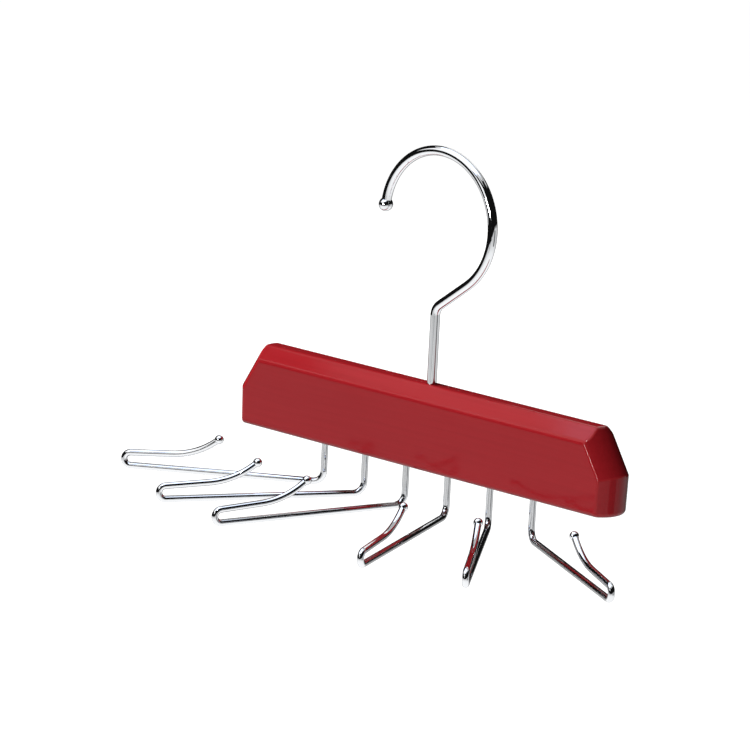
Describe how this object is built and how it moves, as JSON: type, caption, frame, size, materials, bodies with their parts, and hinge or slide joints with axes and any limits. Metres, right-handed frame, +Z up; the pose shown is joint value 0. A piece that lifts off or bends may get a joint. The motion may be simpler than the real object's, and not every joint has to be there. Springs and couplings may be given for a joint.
{
  "type": "tie hanger",
  "caption": "Lacquered wooden bar on a swivelling chrome wire hook, with swivelling chrome tie hooks fanned out under it, each with a narrow slot and a ball tip.",
  "frame": {"origin": "rod seat: the point inside the top hook's loop, right above the swivel axis, where a wardrobe rod carries the hanger", "axes": "+Z up, +X along the bar, -Y to the front, where the tie hooks fan out"},
  "size_m": [0.2916, 0.1, 0.1666],
  "materials": {
    "lacquered_wood": "red mahogany stain under satin lacquer",
    "chrome_wire": "bright chrome plate",
    "nylon": "natural moulded nylon",
    "plain_steel": "zinc-plated pressed steel"
  },
  "bodies": {
    "hook": {"top_hook": "chrome_wire"},
    "bar": {"wooden_bar": "lacquered_wood", "hook_washer": "plain_steel", "swivel_bush_1": "nylon", "swivel_bush_2": "nylon", "swivel_bush_3": "nylon", "swivel_bush_4": "nylon", "swivel_bush_5": "nylon", "swivel_bush_6": "nylon"},
    "tie_1": {"tie_hook_1": "chrome_wire", "retaining_washer_1": "plain_steel"},
    "tie_2": {"tie_hook_2": "chrome_wire", "retaining_washer_2": "plain_steel"},
    "tie_3": {"tie_hook_3": "chrome_wire", "retaining_washer_3": "plain_steel"},
    "tie_4": {"tie_hook_4": "chrome_wire", "retaining_washer_4": "plain_steel"},
    "tie_5": {"tie_hook_5": "chrome_wire", "retaining_washer_5": "plain_steel"},
    "tie_6": {"tie_hook_6": "chrome_wire", "retaining_washer_6": "plain_steel"}
  },
  "joints": [
    {"name": "hook_swivel", "type": "hinge", "parent": "hook", "child": "bar", "pos_m": [0, 0, -0.10147], "axis": [0, 0, 1], "continuous": true},
    {"name": "tie_swivel_1", "type": "hinge", "parent": "bar", "child": "tie_1", "pos_m": [-0.0625, 0, -0.13897], "axis": [0, 0, 1], "range_deg": [-195, 36]},
    {"name": "tie_swivel_2", "type": "hinge", "parent": "bar", "child": "tie_2", "pos_m": [-0.0375, 0, -0.13897], "axis": [0, 0, 1], "range_deg": [-30, 24]},
    {"name": "tie_swivel_3", "type": "hinge", "parent": "bar", "child": "tie_3", "pos_m": [-0.0125, 0, -0.13897], "axis": [0, 0, 1], "range_deg": [-22, 48]},
    {"name": "tie_swivel_4", "type": "hinge", "parent": "bar", "child": "tie_4", "pos_m": [0.0125, 0, -0.13897], "axis": [0, 0, 1], "range_deg": [-48, 24]},
    {"name": "tie_swivel_5", "type": "hinge", "parent": "bar", "child": "tie_5", "pos_m": [0.0375, 0, -0.13897], "axis": [0, 0, 1], "range_deg": [-27, 28]},
    {"name": "tie_swivel_6", "type": "hinge", "parent": "bar", "child": "tie_6", "pos_m": [0.0625, 0, -0.13897], "axis": [0, 0, 1], "range_deg": [-36, 195]}
  ]
}
